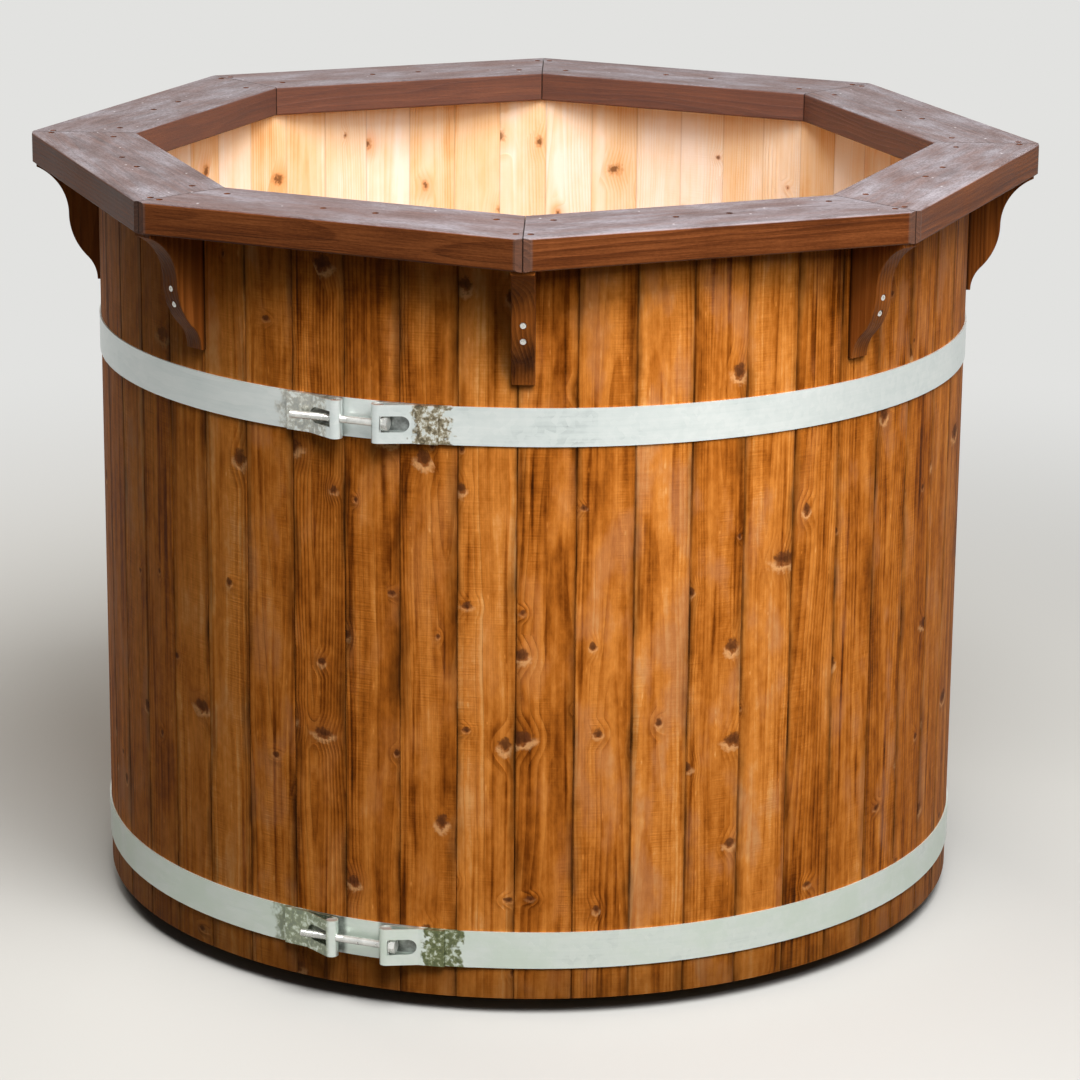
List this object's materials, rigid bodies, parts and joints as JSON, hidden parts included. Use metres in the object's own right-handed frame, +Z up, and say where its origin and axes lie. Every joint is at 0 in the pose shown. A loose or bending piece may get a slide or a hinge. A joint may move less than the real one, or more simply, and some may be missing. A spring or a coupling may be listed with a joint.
{
  "type": "plunge tub",
  "caption": "Round wooden plunge tub of upright staves bound by bolted metal hoops, with a mitred rim on shaped brackets, a boarded floor on bearers and a plugged drain.",
  "frame": {"origin": "on the ground, under the middle of the tub", "axes": "+Z up along the tub's axis, -Y towards the front, where the hoop clamps are, +X to the right"},
  "size_m": [1.3884, 1.3884, 1.053],
  "materials": {
    "stave_wood": "stained softwood, satin, bare on the inside",
    "floor_wood": "planed bare softwood",
    "bearer_wood": "sawn bare softwood",
    "rim_wood": "dark red-brown stain, satin",
    "bracket_wood": "dark red-brown stain, satin",
    "hoop_zinc": "galvanised, satin",
    "lug_zinc": "galvanised, stained at the weld",
    "pin_steel": "zinc plated",
    "bolt_zinc": "bright zinc plated",
    "screw_steel": "plain stainless",
    "drain_steel": "turned stainless",
    "seal_rubber": "black rubber"
  },
  "bodies": {
    "tub": {"stave_set_1": "stave_wood", "stave_set_2": "stave_wood", "stave_set_3": "stave_wood", "stave_set_4": "stave_wood", "stave_set_5": "stave_wood", "floor_board_1": "floor_wood", "floor_board_2": "floor_wood", "floor_board_3": "floor_wood", "floor_board_4": "floor_wood", "floor_board_5": "floor_wood", "floor_board_6": "floor_wood", "floor_board_7": "floor_wood", "floor_board_8": "floor_wood", "floor_board_9": "floor_wood", "bearer_1": "bearer_wood", "bearer_2": "bearer_wood", "bearer_3": "bearer_wood", "rim_board_1": "rim_wood", "rim_board_2": "rim_wood", "rim_board_3": "rim_wood", "rim_board_4": "rim_wood", "rim_board_5": "rim_wood", "rim_board_6": "rim_wood", "rim_board_7": "rim_wood", "rim_board_8": "rim_wood", "bracket_1": "bracket_wood", "bracket_2": "bracket_wood", "bracket_3": "bracket_wood", "bracket_4": "bracket_wood", "bracket_5": "bracket_wood", "bracket_6": "bracket_wood", "bracket_7": "bracket_wood", "bracket_8": "bracket_wood", "upper_hoop_band": "hoop_zinc", "lower_hoop_band": "hoop_zinc", "upper_left_lug": "lug_zinc", "upper_right_lug": "lug_zinc", "lower_left_lug": "lug_zinc", "lower_right_lug": "lug_zinc", "upper_threaded_pin": "pin_steel", "upper_plain_pin": "pin_steel", "lower_threaded_pin": "pin_steel", "lower_plain_pin": "pin_steel", "rim_screws": "screw_steel", "bracket_screws": "screw_steel", "bearer_screws": "screw_steel", "drain_waste": "drain_steel", "drain_locknut": "drain_steel", "drain_gasket": "seal_rubber"},
    "upper_washer": {"upper_washer": "bolt_zinc"},
    "upper_bolt": {"upper_bolt": "bolt_zinc"},
    "lower_washer": {"lower_washer": "bolt_zinc"},
    "lower_bolt": {"lower_bolt": "bolt_zinc"},
    "drain_plug": {"drain_plug": "drain_steel", "drain_plug_seal": "seal_rubber"}
  },
  "joints": [
    {"name": "upper_bolt_advance", "type": "slide", "parent": "tub", "child": "upper_washer", "axis": [0.9397, -0.342, 0], "range_m": [0, 0.009]},
    {"name": "upper_bolt_turn", "type": "hinge", "parent": "upper_washer", "child": "upper_bolt", "pos_m": [-0.20994, -0.57682, 0.793], "axis": [0.9397, -0.342, 0], "range_deg": [0, 2160]},
    {"name": "lower_bolt_advance", "type": "slide", "parent": "tub", "child": "lower_washer", "axis": [0.9397, -0.342, 0], "range_m": [0, 0.009]},
    {"name": "lower_bolt_turn", "type": "hinge", "parent": "lower_washer", "child": "lower_bolt", "pos_m": [-0.20994, -0.57682, 0.091], "axis": [0.9397, -0.342, 0], "range_deg": [0, 2160]},
    {"name": "drain_plug_lift", "type": "slide", "parent": "tub", "child": "drain_plug", "axis": [0, 0, 1], "range_m": [0, 1]}
  ],
  "couplings": [
    {"joint": "upper_bolt_turn", "follows": "upper_bolt_advance", "rad_per_m": 4188.8},
    {"joint": "lower_bolt_turn", "follows": "lower_bolt_advance", "rad_per_m": 4188.8}
  ]
}
